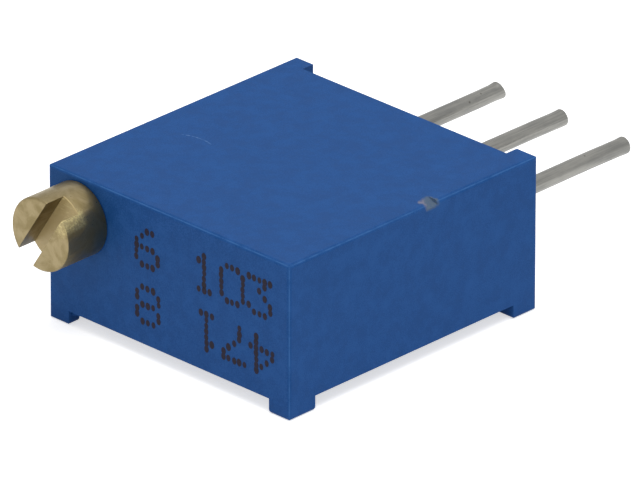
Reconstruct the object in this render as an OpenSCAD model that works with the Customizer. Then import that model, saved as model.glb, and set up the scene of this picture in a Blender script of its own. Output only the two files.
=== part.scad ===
// Multiturn trimmer potentiometer: a flat square block for a printed board.
// The origin lies on the middle pin's axis, in the plane of the board it is soldered to.
// +Y runs along the pins, away from the screw head. +Z points to the plain large face.

/* [Housing] */
// Width across the side faces
body_w = 9.53; // [9.4:0.01:9.8]
// Length from the screw face to the tips of the end ribs
body_l = 10.03; // [9.8:0.01:10.6]
// Thickness from the plain large face to the foot tips
body_t = 4.83; // [4.7:0.01:5.2]
// Radius of the outer edges
edge_r = 0.12; // [0.06:0.01:0.2]
// Thickness of the roof under the plain large face
roof_t = 0.6; // [0.5:0.01:0.65]
// Thickness of the walls round the rotor chamber
wall_t = 0.6; // [0.5:0.01:0.65]
// Width of the ledge that the substrate seats on
ledge_w = 0.18; // [0.12:0.01:0.25]

/* [Ribs and feet] */
// Width of each rib on the pin end
rib_w = 0.75; // [0.6:0.01:0.9]
// Height of the ribs, which hold the block off the board
rib_h = 0.51; // [0.4:0.01:0.6]
// Width of each foot
foot_w = 0.8; // [0.7:0.01:0.95]
// Length of the two feet at the screw end
foot_front_l = 1.04; // [0.9:0.01:1.2]
// Length of the two feet at the pin end, with the rib
foot_back_l = 0.96; // [0.8:0.01:1.2]
// Height of the feet
foot_h = 0.46; // [0.35:0.01:0.55]
// Radius on the inner edges of feet and ribs
foot_r = 0.14; // [0.05:0.01:0.2]
// Length of the gate stub beside the foot under the screw
gate_l = 0.95; // [0.5:0.01:1.2]
// Height of the gate stub
gate_h = 0.16; // [0.05:0.01:0.3]
// Distance of the chip in the right edge from the board plane
chip_y = 4.3; // [3:0.01:6]
// Length of the chip along the edge
chip_l = 0.42; // [0.2:0.01:0.8]
// Width of the chip on the plain face
chip_w = 0.4; // [0.1:0.01:0.5]
// Depth of the chip on the side face
chip_d = 0.09; // [0.03:0.01:0.2]

/* [Pins] */
// Diameter of the round pins
pin_d = 0.51; // [0.46:0.01:0.56]
// Distance between neighbouring pins
pin_pitch = 2.54; // [2.4:0.01:2.6]
// Offset of the pin row from the middle of the thickness, towards the plain face
pin_offset = 0.005; // [-0.05:0.005:0.05]
// Reach of the left pin past the board plane
pin_1_l = 6.16; // [4:0.01:7]
// Reach of the middle pin past the board plane
pin_2_l = 6.12; // [4:0.01:7]
// Reach of the right pin past the board plane
pin_3_l = 6.02; // [4:0.01:7]
// Length of round wire that the end wall holds
grip_l = 0.1; // [0.08:0.01:0.12]
// Length of the coined tail of a pin inside the chamber
tail_l = 1.35; // [1:0.01:1.45]
// Width of the coined tail
tail_w = 0.6; // [0.55:0.01:0.7]
// Chamfer at the sheared tip of a pin
tip_c = 0.06; // [0.02:0.01:0.1]

/* [Adjustment screw] */
// Distance of the screw axis from the side face and from the plain face
screw_inset = 1.27; // [1.24:0.01:1.32]
// Diameter of the screw head
head_d = 2.19; // [2:0.01:2.3]
// Height of the head above the screw face
head_l = 1.52; // [1.2:0.01:1.8]
// Chamfer round the front of the head
head_c = 0.07; // [0.02:0.01:0.15]
// Width of the driver slot
slot_w = 0.64; // [0.4:0.01:0.8]
// Depth of the driver slot
slot_d = 0.76; // [0.5:0.01:1]
// Turn of the driver slot from level
slot_turn = 52; // [0:1:180]
// Diameter of the two guide lands
land_d = 1.9; // [1.86:0.01:1.92]
// Length of the first guide land
land_l = 0.6; // [0.4:0.01:0.7]
// Width of the seal groove
seal_groove_w = 0.5; // [0.46:0.01:0.6]
// Cord diameter of the seal ring
seal_d = 0.4; // [0.36:0.01:0.42]
// Thickness of the snap ring
ring_t = 0.25; // [0.2:0.01:0.3]
// Diameter of the groove for the snap ring
ring_groove_d = 1.2; // [1:0.01:1.4]
// Opening of the snap ring
ring_gap = 0.95; // [0.7:0.01:1.05]
// Width of the collar behind the snap ring
collar_w = 0.16; // [0.12:0.01:0.25]
// Length of the front boss that carries the screw
boss_l = 1.68; // [1.6:0.01:1.8]
// Length of the tail bearing boss on the end wall
tail_boss_l = 0.85; // [0.6:0.01:1]
// Diameter of the tail journal
journal_d = 0.9; // [0.8:0.01:1]

/* [Worm and rotor] */
// Pitch radius of the worm
worm_r = 0.75; // [0.72:0.01:0.78]
// Room between the rotor's teeth and the wall opposite the screw
gear_gap = 0.38; // [0.3:0.01:0.5]
// Number of teeth on the rotor
gear_teeth = 33; // [31:2:35]
// Height of the worm thread above its pitch radius
thread_add = 0.16; // [0.12:0.01:0.18]
// Depth of the worm thread below its pitch radius
thread_ded = 0.2; // [0.18:0.01:0.24]
// Height of a tooth above the pitch radius
tooth_add = 0.13; // [0.1:0.01:0.15]
// Depth of a tooth below the pitch radius
tooth_ded = 0.23; // [0.21:0.01:0.26]
// Slope of the flanks of thread and teeth
flank_a = 20; // [14:1:22]
// Thickness of the rotor
gear_t = 0.8; // [0.7:0.01:1]
// Turns of the screw from end to end
screw_turns = 25; // [22:1:25]
// Diameter of the housing's pivot post
post_d = 1.2; // [1:0.01:1.4]
// Wall of the rotor's hub
hub_wall = 0.4; // [0.3:0.01:0.5]
// Floor of the rotor under the pivot post
hub_floor = 0.26; // [0.2:0.01:0.35]
// Depth of the ring recess for the stop
recess_d = 0.36; // [0.3:0.01:0.45]
// Width of the rim between the ring recess and the roots of the teeth
rim_w = 0.47; // [0.35:0.01:0.6]
// Angle taken by the rotor's stop lug
lug_a = 30; // [20:1:40]

/* [Wiper] */
// Thickness of the wiper's spring sheet
wiper_t = 0.08; // [0.06:0.01:0.1]
// Width of one contact finger
finger_w = 0.12; // [0.1:0.01:0.13]
// Gap between fingers
finger_gap = 0.04; // [0.03:0.01:0.05]
// Length of a finger from the plate to its contact point
finger_l = 1.0; // [0.9:0.01:1.1]
// Number of fingers on the resistive track
track_fingers = 4; // [3:1:4]
// Number of fingers on the collector
collector_fingers = 3; // [2:1:3]
// Width of the wiper's plate
plate_w = 0.46; // [0.4:0.01:0.5]
// Height of the wiper's seat above the tracks
wiper_room = 0.505; // [0.45:0.005:0.6]
// Diameter of the two stake posts
stake_d = 0.26; // [0.2:0.01:0.3]
// Height of a stake's head
stake_head_h = 0.08; // [0.05:0.01:0.1]

/* [Element] */
// Thickness of the ceramic substrate
sub_t = 0.64; // [0.5:0.01:0.8]
// Thickness of the printed tracks and pads
film_t = 0.03; // [0.02:0.005:0.04]
// Distance of the resistive track's middle inside the pitch circle of the teeth
track_inset = 0.95; // [0.9:0.01:1.1]
// Width of the resistive track
track_w = 0.72; // [0.68:0.01:0.78]
// Middle radius of the collector
collector_r = 0.74; // [0.7:0.01:0.85]
// Width of the collector
collector_w = 0.56; // [0.5:0.01:0.65]
// Half of the angle that the resistive track spans
track_half_a = 131; // [125:1:132]
// Angle of each end pad past the track
end_pad_a = 11; // [9:1:13]
// Width of the pad under a pin's tail
pad_w = 1.1; // [0.9:0.01:1.2]
// Width of the leads from the pads to the tracks
lead_w = 0.5; // [0.4:0.01:0.6]
// Depth of the potting's face inside the rim
pot_sink = 0.08; // [0.03:0.01:0.12]

/* [Clearances] */
// Gap at each side of the substrate in its pocket
sub_clear = 0.04; // [0.02:0.005:0.08]
// Radial running clearance of lands, journal and pivot
run_clear = 0.025; // [0.015:0.005:0.04]
// End float between turning faces
float_clear = 0.03; // [0.02:0.005:0.05]
// Backlash of thread and teeth, along the pitch line
backlash = 0.08; // [0.06:0.005:0.1]
// Radial room round the thread, snap ring and stop
free_clear = 0.05; // [0.04:0.005:0.07]
// Spare turn of the rotor at each end before its stop
stop_spare_a = 1.5; // [1:0.1:3]
// Gap under the contact fingers
contact_gap = 0.01; // [0.005:0.001:0.015]
// Room round a pin in its exit notch, filled by the potting
notch_clear = 0.06; // [0.03:0.01:0.1]

/* [Hidden] */
$fn = 48;
eps = 0.02;
plastic_blue = [0.13, 0.31, 0.56];
brass = [0.72, 0.6, 0.3];
seal_red = [0.62, 0.2, 0.14];
spring_steel = [0.72, 0.73, 0.74];
rotor_white = [0.9, 0.89, 0.84];
contact_gold = [0.85, 0.72, 0.38];
ceramic = [0.93, 0.92, 0.89];
cermet = [0.16, 0.15, 0.15];
silver_film = [0.78, 0.77, 0.72];
tinned = [0.6, 0.6, 0.58];
potting_blue = [0.1, 0.2, 0.36];

half_w = body_w / 2;
front_y = -body_l;
end_y = -rib_h;
top_z = body_t / 2 - pin_offset;
foot_z = top_z - body_t;
under_z = foot_z + foot_h;
roof_z = top_z - roof_t;
chamber_x = half_w - wall_t;
chamber_y0 = front_y + wall_t;
chamber_y1 = end_y - wall_t;
pocket_x = chamber_x + ledge_w;
pocket_y0 = chamber_y0 - ledge_w;
pocket_y1 = chamber_y1 + ledge_w;
sub_top = -pin_d / 2;
sub_bottom = sub_top - sub_t;
film_top = sub_top + film_t;
pot_z = under_z + pot_sink;

screw_x = screw_inset - half_w;
screw_z = top_z - screw_inset;
land_r = land_d / 2;
bore_r = land_r + run_clear;
seal_r = bore_r - run_clear / 2 - seal_d / 2;
seal_groove_r = seal_r - seal_d / 2;
seal_s = land_l + seal_groove_w / 2;
ring_groove_w = ring_t + 2 * float_clear;
worm_s0 = boss_l + ring_groove_w + collar_w;
worm_s1 = chamber_y1 - tail_boss_l - float_clear - front_y;
journal_s1 = end_y - wall_t / 2 - front_y - float_clear;
thread_r = worm_r + thread_add;
root_r = worm_r - thread_ded;
channel_r = max(thread_r, land_r) + free_clear;
boss_r = screw_inset;
tail_boss_r = journal_d / 2 + wall_t * 0.65;

gear_r = (chamber_x - gear_gap - tooth_add - screw_x - worm_r) / 2;
root_of_teeth_r = gear_r - tooth_ded;
recess_r = root_of_teeth_r - rim_w;
track_r = gear_r - track_inset;
gear_x = screw_x + worm_r + gear_r;
gear_y = (front_y + end_y) / 2;
gear_z0 = screw_z - gear_t / 2;
gear_z1 = screw_z + gear_t / 2;
lead = 2 * PI * gear_r / gear_teeth;
lead_a = atan(lead / (2 * PI * worm_r));
flank_half = (lead - 2 * backlash) / 4;
travel_a = 360 * screw_turns / gear_teeth;
stop_a = 360 - travel_a - lug_a - 2 * stop_spare_a;
hub_r = post_d / 2 + run_clear + hub_wall;
post_z0 = gear_z0 + hub_floor + float_clear;
seat_z = film_top + wiper_room;
finger_z0 = film_top + contact_gap;
finger_pitch = finger_w + finger_gap;
plate_x = -finger_l - plate_w / 2;
plate_y0 = -track_r - finger_pitch * track_fingers / 2;
plate_y1 = collector_r + finger_pitch * collector_fingers / 2;
coin_y1 = end_y - grip_l;
tail_y0 = chamber_y1 - tail_l;
tail_top = PI * pin_d * pin_d / 4 / tail_w + film_top;

// Rectangle from the origin corner with its four corners rounded
module rounded(w, h, r) {
    translate([r, 0]) square([w - 2 * r, h]);
    translate([0, r]) square([w, h - 2 * r]);
    for (x = [r, w - r], y = [r, h - r]) translate([x, y]) circle(r);
}

// Rectangular cut from y = 0 upwards, centred on x, that leaves its mouth edges rounded
module notch_profile(w, h, r) {
    translate([-w / 2, -eps]) square([w, h + eps]);
    for (s = [-1, 1]) difference() {
        translate([s * w / 2 - (s < 0 ? r : 0), -eps]) square([r, r + eps]);
        translate([s * (w / 2 + r), r]) circle(r);
    }
}

// Solid cylinder along +Y about the point x, z
module y_rod(x, z, r, y0, y1) {
    translate([x, y0, z]) rotate([-90, 0, 0]) cylinder(h = y1 - y0, r = r);
}

// Ring sector about +Z, centred on the angle mid_a
module ring_sector(r0, r1, mid_a, wide_a, z0, z1) {
    rotate([0, 0, mid_a - wide_a / 2]) rotate_extrude(angle = wide_a, $fn = 96)
        translate([r0, z0]) square([r1 - r0, z1 - z0]);
}

// Block with every outer edge rounded, over the whole length, width and thickness
module outer_block() {
    intersection() {
        translate([-half_w, front_y, foot_z]) linear_extrude(body_t) rounded(body_w, body_l, edge_r);
        translate([-half_w, 0, foot_z]) rotate([90, 0, 0]) linear_extrude(body_l)
            rounded(body_w, body_t, edge_r);
        translate([-half_w, front_y, foot_z]) rotate([90, 0, 90]) linear_extrude(body_w)
            rounded(body_l, body_t, edge_r);
    }
}

// Space between the two end ribs
module rib_cut() {
    translate([0, 0, foot_z - eps]) linear_extrude(body_t + 2 * eps)
        rotate(180) notch_profile(body_w - 2 * rib_w, rib_h, foot_r);
}

// Space under the block, both ways between the feet
module foot_cut() {
    feet_y = (front_y + foot_front_l - foot_back_l) / 2;
    translate([0, eps, foot_z]) rotate([90, 0, 0]) linear_extrude(body_l + 2 * eps)
        notch_profile(body_w - 2 * foot_w, foot_h, foot_r);
    translate([-half_w - eps, feet_y, foot_z]) rotate([90, 0, 90]) linear_extrude(body_w + 2 * eps)
        notch_profile(body_l - foot_front_l - foot_back_l, foot_h, foot_r);
}

// Stub that the mould's gate left beside the foot under the screw
module gate_stub() {
    translate([foot_w - half_w, front_y + wall_t, under_z]) rotate([90, 0, 0])
        linear_extrude(wall_t - edge_r)
            polygon([[-eps, eps], [gate_l, eps], [gate_l * 0.4, -gate_h / 2], [-eps, -gate_h]]);
}

// Chip knocked out of the long right edge
module edge_chip() {
    translate([half_w, -chip_y, top_z]) rotate([90, 0, 0])
        linear_extrude(chip_l, center = true)
            polygon([[-chip_w, eps], [eps, eps], [eps, -chip_d * 1.6], [-chip_w * 0.45, -chip_d]]);
}

// Room for the rotor and the worm, between the roof and the substrate
module rotor_room() {
    translate([-chamber_x, chamber_y0, sub_top - eps])
        cube([2 * chamber_x, chamber_y1 - chamber_y0, roof_z - sub_top + eps]);
    y_rod(screw_x, screw_z, channel_r, front_y + boss_l - eps, chamber_y1 - tail_boss_l + eps);
}

// Slab as wide and as long as the pocket for the substrate and the potting
module pocket_slab(z0, z1) {
    translate([-pocket_x, pocket_y0, z0])
        cube([2 * pocket_x, pocket_y1 - pocket_y0, z1 - z0]);
}

// Boss behind the screw face: round below the screw, square to the side wall and the roof
module front_boss() {
    boss_x0 = -chamber_x - eps;
    y_rod(screw_x, screw_z, boss_r, front_y + wall_t / 2, front_y + boss_l);
    translate([boss_x0, front_y + wall_t / 2, screw_z])
        cube([screw_x + boss_r - boss_x0, boss_l - wall_t / 2, roof_z + eps - screw_z]);
    translate([boss_x0, front_y + wall_t / 2, screw_z - boss_r])
        cube([screw_x - boss_x0, boss_l - wall_t / 2, boss_r + eps]);
}

module pivot_post() {
    translate([gear_x, gear_y, post_z0]) cylinder(h = roof_z + eps - post_z0, r = post_d / 2);
}

module stop_rib() {
    translate([gear_x, gear_y, 0])
        ring_sector(hub_r + free_clear, recess_r - free_clear, 90, stop_a,
            gear_z1 - recess_d + free_clear, roof_z + eps);
}

// Outline of a pin's exit notch in the end wall, seen along the pin
module exit_outline(low_z) {
    notch_half = max(pin_d, tail_w) / 2 + notch_clear;
    translate([-notch_half, low_z]) square([2 * notch_half, pin_d / 2 + notch_clear - low_z]);
}

// Slot through the end wall for each pin, open to the underside
module exit_notch(x) {
    translate([x, end_y + eps, 0]) rotate([90, 0, 0]) linear_extrude(wall_t + 2 * eps)
        exit_outline(foot_z);
}

module housing() {
    color(plastic_blue) difference() {
        union() {
            difference() {
                outer_block();
                rib_cut();
                foot_cut();
                edge_chip();
                pocket_slab(foot_z, sub_top);
                difference() {
                    rotor_room();
                    front_boss();
                    y_rod(screw_x, screw_z, tail_boss_r, chamber_y1 - tail_boss_l, chamber_y1 + eps);
                }
            }
            gate_stub();
            pivot_post();
            stop_rib();
        }
        y_rod(screw_x, screw_z, bore_r, front_y - eps, front_y + boss_l + eps);
        y_rod(screw_x, screw_z, journal_d / 2 + run_clear, chamber_y1 - tail_boss_l - eps,
            end_y - wall_t / 2);
        for (i = [-1, 0, 1]) exit_notch(i * pin_pitch);
    }
}

// Outline of the screw from its axis outwards, with its length along the second value
screw_outline = [
    [0, -head_l], [head_d / 2 - head_c, -head_l], [head_d / 2, head_c - head_l],
    [head_d / 2, -float_clear], [land_r, -float_clear], [land_r, land_l],
    [seal_groove_r, land_l], [seal_groove_r, land_l + seal_groove_w],
    [land_r, land_l + seal_groove_w], [land_r, boss_l],
    [ring_groove_d / 2, boss_l], [ring_groove_d / 2, boss_l + ring_groove_w],
    [land_r, boss_l + ring_groove_w], [land_r, worm_s0],
    [root_r, worm_s0], [root_r, worm_s1], [journal_d / 2, worm_s1], [journal_d / 2, journal_s1],
    [0, journal_s1]];

steps_per_turn = 28;
thread_in_r = root_r - eps * 2;
thread_s0 = worm_s0 + thread_half(thread_in_r);
thread_s1 = worm_s1 - thread_half(thread_in_r);
thread_phase = gear_y - front_y + lead / 2;
thread_steps = floor((thread_s1 - thread_s0) / lead * steps_per_turn);

// Crest radius at a step, sinking into the core over a third of a turn at both ends
function crest_r(i) = let (fade = min(1, 3 * min(i, thread_steps - i) / steps_per_turn))
    root_r - eps + (thread_r - root_r + eps) * fade;

// Half thickness of the thread at a radius
function thread_half(r) = flank_half - (r - worm_r) * tan(flank_a);

// Four corners of the thread's section at a step
function thread_ring(i) = let (
        s = thread_s0 + lead * i / steps_per_turn,
        a = 360 * (s - thread_phase) / lead,
        c = crest_r(i))
    [for (p = [[thread_in_r, -1], [thread_in_r, 1], [c, 1], [c, -1]])
        [p[0] * cos(a), p[0] * sin(a), s + p[1] * thread_half(p[0])]];

// Worm thread: one start, right hand, swept by steps round the core
module worm_thread() {
    points = [for (i = [0 : thread_steps]) each thread_ring(i)];
    sides = [for (i = [0 : thread_steps - 1], k = [0 : 3])
        let (a = 4 * i + k, b = 4 * i + (k + 1) % 4)
        each [[a, b + 4, b], [a, a + 4, b + 4]]];
    last = 4 * thread_steps;
    polyhedron(points, concat([[0, 1, 2], [0, 2, 3]], sides,
        [[last + 2, last + 1, last], [last + 3, last + 2, last]]));
}

module adjustment_screw() {
    color(brass) translate([screw_x, front_y, screw_z]) rotate([-90, 0, 0]) {
        difference() {
            rotate_extrude() polygon(screw_outline);
            rotate([0, 0, -slot_turn]) translate([-head_d, -slot_w / 2, -head_l - eps])
                cube([2 * head_d, slot_w, slot_d + eps]);
        }
        worm_thread();
    }
}

module shaft_seal() {
    color(seal_red) translate([screw_x, front_y + seal_s, screw_z]) rotate([-90, 0, 0])
        rotate_extrude() translate([seal_r, 0]) circle(seal_d / 2, $fn = 24);
}

// Ring that snaps into its groove from the side and bears on the end of the boss
module snap_ring() {
    color(spring_steel) translate([screw_x, front_y + boss_l + float_clear, screw_z])
        rotate([-90, 0, 0]) difference() {
            cylinder(h = ring_t, r = land_r);
            translate([0, 0, -eps]) cylinder(h = ring_t + 2 * eps, r = ring_groove_d / 2);
            translate([-ring_gap / 2, 0, -eps]) cube([ring_gap, land_d, ring_t + 2 * eps]);
        }
}

// One tooth along +X, leaning by the worm's lead angle
module tooth() {
    slope = tan(flank_a);
    root_half = flank_half + tooth_ded * slope;
    tip_half = flank_half - tooth_add * slope;
    foot_x = root_of_teeth_r - eps;
    rotate([-lead_a, 0, 0]) linear_extrude(gear_t * 1.4, center = true)
        polygon([[foot_x - eps, -root_half], [foot_x + eps, -root_half],
            [gear_r + tooth_add + eps, -tip_half], [gear_r + tooth_add + eps, tip_half],
            [foot_x + eps, root_half], [foot_x - eps, root_half]]);
}

module tooth_ring() {
    intersection() {
        for (i = [0 : gear_teeth - 1]) rotate([0, 0, 180 + 360 * i / gear_teeth]) tooth();
        translate([0, 0, -gear_t / 2]) cylinder(h = gear_t, r = gear_r + tooth_add, $fn = 96);
    }
}

// Places of the two stakes along the wiper's plate
stake_ys = [plate_y0 + plate_w * 2, plate_y1 - plate_w];

module rotor_gear() {
    color(rotor_white) translate([gear_x, gear_y, 0]) {
        difference() {
            union() {
                difference() {
                    translate([0, 0, gear_z0]) cylinder(h = gear_t, r = root_of_teeth_r, $fn = 96);
                    translate([0, 0, gear_z1 - recess_d])
                        cylinder(h = recess_d + eps, r = recess_r, $fn = 96);
                }
                translate([0, 0, gear_z0 + eps])
                    cylinder(h = roof_z - float_clear - gear_z0 - eps, r = hub_r);
                ring_sector(hub_r - eps, recess_r + eps, -90, lug_a, gear_z1 - recess_d - eps, gear_z1);
                translate([0, 0, screw_z]) tooth_ring();
            }
            translate([0, 0, gear_z0 + hub_floor])
                cylinder(h = roof_z - gear_z0, r = post_d / 2 + run_clear);
        }
        translate([plate_x - plate_w / 2, plate_y0, seat_z]) linear_extrude(gear_z0 + eps - seat_z)
            rounded(plate_w, plate_y1 - plate_y0, plate_w / 5);
        for (y = stake_ys) translate([plate_x, y, seat_z - wiper_t - stake_head_h]) {
            cylinder(h = wiper_t + stake_head_h + eps, r = stake_d / 2, $fn = 32);
            cylinder(h = stake_head_h, r = stake_d * 0.75, $fn = 32);
        }
    }
}

// Bent strip of even thickness along a path of points in a plane
function strip(path, t) = let (
        n = len(path),
        dirs = [for (i = [0 : n - 1]) path[min(i + 1, n - 1)] - path[max(i - 1, 0)]],
        sides = [for (d = dirs) [-d[1], d[0]] / norm(d) * t / 2])
    concat([for (i = [0 : n - 1]) path[i] + sides[i]],
        [for (i = [n - 1 : -1 : 0]) path[i] - sides[i]]);

// Side view of a finger: down from the plate, round its contact point and up again
module finger_profile() {
    plate_mid = seat_z - wiper_t / 2;
    contact_mid = finger_z0 + wiper_t / 2;
    bend_r = 0.25;
    bend_mid = contact_mid + bend_r;
    polygon(strip(concat([[-finger_l - eps, plate_mid], [-finger_l * 0.9, plate_mid]],
        [for (a = [-24 : 8 : 48]) [bend_r * sin(a), bend_mid - bend_r * cos(a)]]), wiper_t));
}

module finger_row(mid_y, count) {
    for (i = [0 : count - 1])
        translate([0, mid_y + (i - (count - 1) / 2) * finger_pitch + finger_w / 2, 0])
            rotate([90, 0, 0]) linear_extrude(finger_w) finger_profile();
}

module wiper_contact() {
    color(contact_gold) translate([gear_x, gear_y, 0]) {
        difference() {
            translate([plate_x - plate_w / 2, plate_y0, seat_z - wiper_t]) linear_extrude(wiper_t)
                rounded(plate_w, plate_y1 - plate_y0, plate_w / 5);
            for (y = stake_ys) translate([plate_x, y, seat_z - wiper_t - eps])
                cylinder(h = wiper_t + 2 * eps, r = stake_d / 2, $fn = 32);
        }
        finger_row(-track_r, track_fingers);
        finger_row(collector_r, collector_fingers);
    }
}

module substrate() {
    x = pocket_x - sub_clear;
    y0 = pocket_y0 + sub_clear;
    y1 = pocket_y1 - sub_clear;
    color(ceramic) translate([-x, y0, sub_bottom]) cube([2 * x, y1 - y0, sub_t]);
}

module resistive_track() {
    color(cermet) translate([gear_x, gear_y, 0])
        ring_sector(track_r - track_w / 2, track_r + track_w / 2, -90, 2 * track_half_a,
            sub_top, film_top);
}

// Flat lead of even width between two points, with a round at each end
module lead_strip(a, b) {
    d = b - a;
    n = [-d[1], d[0]] / norm(d) * lead_w / 2;
    polygon([a + n, a - n, b - n, b + n]);
    for (p = [a, b]) translate(p) circle(lead_w / 2, $fn = 32);
}

// Pad under a pin's tail, joined by a lead to a point on its track
module pad_and_lead(pin_x, target) {
    translate([0, 0, sub_top]) linear_extrude(film_t) {
        translate([pin_x - pad_w / 2, tail_y0 - lead_w / 2])
            square([pad_w, chamber_y1 - eps - tail_y0 + lead_w / 2]);
        lead_strip([pin_x, tail_y0 - lead_w / 4], target);
    }
}

// Point on the rotor's track circle at an angle from the rotor's axis
function ring_point(r, a) = [gear_x + r * cos(a), gear_y + r * sin(a)];

module end_pad(pin_x, side) {
    mid_a = -90 + side * (track_half_a + end_pad_a / 2);
    color(silver_film) {
        translate([gear_x, gear_y, 0])
            ring_sector(track_r - track_w / 2, track_r + track_w / 2, mid_a, end_pad_a,
                sub_top, film_top);
        pad_and_lead(pin_x, ring_point(track_r, mid_a + side * end_pad_a / 4));
    }
}

module end_pad_1() { end_pad(-pin_pitch, -1); }
module end_pad_3() { end_pad(pin_pitch, 1); }

module collector_track() {
    color(silver_film) {
        translate([gear_x, gear_y, 0])
            ring_sector(collector_r - collector_w / 2, collector_r + collector_w / 2, -90, 360,
                sub_top, film_top);
        pad_and_lead(0, ring_point(collector_r, 90));
    }
}

// Round wire out to a stated y, and the coined tail that lies flat on its pad and keys it in the wall
module wire(x, y1) {
    y_rod(x, 0, pin_d / 2, coin_y1, y1);
    translate([x - tail_w / 2, tail_y0, film_top])
        cube([tail_w, coin_y1 - tail_y0 + eps, tail_top - film_top]);
}

// Pin with a sheared tip
module pin(x, reach) {
    color(tinned) {
        wire(x, reach - tip_c);
        translate([x, reach - tip_c, 0]) rotate([-90, 0, 0])
            cylinder(h = tip_c, r1 = pin_d / 2, r2 = pin_d / 2 - tip_c);
    }
}

module pin_1() { pin(-pin_pitch, pin_1_l); }
module pin_2() { pin(0, pin_2_l); }
module pin_3() { pin(pin_pitch, pin_3_l); }

// Solder that rises round the sides and the inner end of a pin's tail
module solder(x) {
    rise = (tail_top - film_top) * 0.7;
    gap_y = (pad_w - tail_w) / 2;
    base_l = tail_l + gap_y - eps * 4;
    color(tinned) translate([x, 0, 0]) difference() {
        translate([0, tail_y0 - gap_y + base_l / 2, film_top])
            linear_extrude(rise, slices = 1, scale = [(tail_w + 2 * eps) / pad_w, 1 - gap_y / base_l])
                translate([-pad_w / 2, -base_l / 2]) rounded(pad_w, base_l, gap_y, $fn = 16);
        translate([-tail_w / 2, tail_y0, film_top - eps])
            cube([tail_w, tail_l + eps, tail_top - film_top + eps]);
    }
}

module solder_1() { solder(-pin_pitch); }
module solder_2() { solder(0); }
module solder_3() { solder(pin_pitch); }

// Potting that closes the underside and fills the exit notches round the pins
module back_potting() {
    color(potting_blue) {
        pocket_slab(pot_z, sub_bottom);
        for (i = [-1, 0, 1]) difference() {
            translate([i * pin_pitch, end_y, 0]) rotate([90, 0, 0])
                linear_extrude(wall_t - ledge_w) exit_outline(pot_z);
            wire(i * pin_pitch, end_y + eps);
        }
    }
}

housing();
adjustment_screw();
shaft_seal();
snap_ring();
rotor_gear();
wiper_contact();
substrate();
resistive_track();
collector_track();
end_pad_1();
end_pad_3();
pin_1();
pin_2();
pin_3();
solder_1();
solder_2();
solder_3();
back_potting();
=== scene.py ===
"""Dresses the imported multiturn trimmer: finer meshes, procedural finishes, studio light and camera."""

import logging
from contextlib import contextmanager
from dataclasses import dataclass, field
from enum import Enum
from math import cos, exp, hypot, pi, sin, tan
from typing import Callable, Iterable, Iterator, Sequence, Union

import bmesh
import bpy
from mathutils import Matrix, Vector, noise


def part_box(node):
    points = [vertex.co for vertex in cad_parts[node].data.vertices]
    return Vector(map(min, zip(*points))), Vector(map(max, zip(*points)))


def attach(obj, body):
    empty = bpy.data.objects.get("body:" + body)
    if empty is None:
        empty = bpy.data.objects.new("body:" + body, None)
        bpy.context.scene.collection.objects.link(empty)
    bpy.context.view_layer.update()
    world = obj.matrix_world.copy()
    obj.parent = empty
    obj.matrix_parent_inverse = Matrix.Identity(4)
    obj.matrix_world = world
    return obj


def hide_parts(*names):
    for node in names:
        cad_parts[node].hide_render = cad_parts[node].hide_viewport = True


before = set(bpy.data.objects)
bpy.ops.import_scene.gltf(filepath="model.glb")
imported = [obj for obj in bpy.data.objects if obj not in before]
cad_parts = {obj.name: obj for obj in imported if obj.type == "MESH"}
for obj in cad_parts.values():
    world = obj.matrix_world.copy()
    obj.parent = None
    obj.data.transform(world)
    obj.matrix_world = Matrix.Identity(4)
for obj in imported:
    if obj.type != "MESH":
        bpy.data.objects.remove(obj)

Colour = tuple[float, float, float]
Faces = list[tuple[int, ...]]
Inputs = dict[str | int, object]
Material = bpy.types.Material
Mesh = bpy.types.Mesh
Piece = bpy.types.Object
Socket = bpy.types.NodeSocket
Value = Union[float, Socket, "Flow"]

LOG = logging.getLogger("trimmer")
MM = 0.001
DEG = pi / 180
FLAT = 0.5 * DEG


def seen(red: int, green: int, blue: int) -> Colour:
    """Turns a colour as a screen shows it into the linear colour that a shader takes.

    Args:
        red: Red from 0 to 255.
        green: Green from 0 to 255.
        blue: Blue from 0 to 255.

    Returns:
        The linear red, green and blue from 0 to 1.
    """
    def linear(level: int) -> float:
        """Undoes the screen's curve for one channel."""
        share = level / 255
        return share / 12.92 if share <= 0.04045 else ((share + 0.055) / 1.055) ** 2.4

    return linear(red), linear(green), linear(blue)


def operator(operation: str, swapped: bool = False) -> Callable[..., "Flow"]:
    """Makes a method that adds one Math node to the tree of a flow.

    Args:
        operation: Blender's name of the operation.
        swapped: Whether the flow comes second.

    Returns:
        The method.
    """
    def method(flow: "Flow", other: Value = 0.0) -> "Flow":
        """Gives the Math node's result."""
        return flow.tree.math(operation, *((other, flow) if swapped else (flow, other)))

    return method


class Flow:
    """An output in a node tree, which takes part in plain arithmetic."""

    def __init__(self, tree: "Tree", socket: Socket) -> None:
        """Wraps an output socket of a tree."""
        self.tree = tree
        self.socket = socket

    __add__ = __radd__ = operator("ADD")
    __mul__ = __rmul__ = operator("MULTIPLY")
    __sub__ = operator("SUBTRACT")
    __rsub__ = operator("SUBTRACT", swapped=True)
    __truediv__ = operator("DIVIDE")
    __pow__ = operator("POWER")
    __abs__ = operator("ABSOLUTE")


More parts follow.
